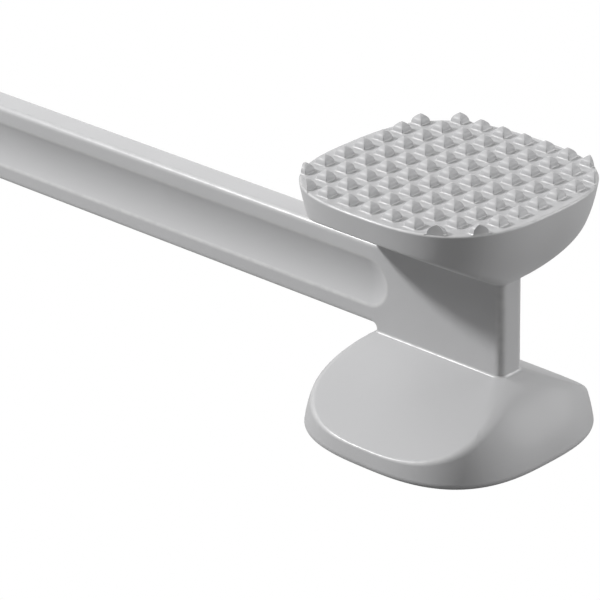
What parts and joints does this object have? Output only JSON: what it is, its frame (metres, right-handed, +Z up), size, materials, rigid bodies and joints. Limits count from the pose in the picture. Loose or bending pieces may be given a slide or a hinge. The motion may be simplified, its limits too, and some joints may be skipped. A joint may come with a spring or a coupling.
{
  "type": "meat mallet",
  "caption": "Cast aluminium meat mallet with a studded face above, a smooth face below, and a bar handle with a channel along each side and a hanging hole.",
  "frame": {"origin": "middle of the smooth striking face, which the mallet stands on", "axes": "+X from the handle towards the nose of the heads, +Z up from the smooth face to the studded face, +Y across"},
  "size_m": [0.2395, 0.0596, 0.064],
  "materials": {
    "cast_aluminium": "satin, as cast and tumbled"
  },
  "bodies": {
    "root": {"handle_end": "cast_aluminium", "handle_shank": "cast_aluminium", "neck": "cast_aluminium", "studded_side_flare": "cast_aluminium", "studded_face": "cast_aluminium", "smooth_side_flare": "cast_aluminium", "smooth_face": "cast_aluminium"}
  },
  "joints": []
}
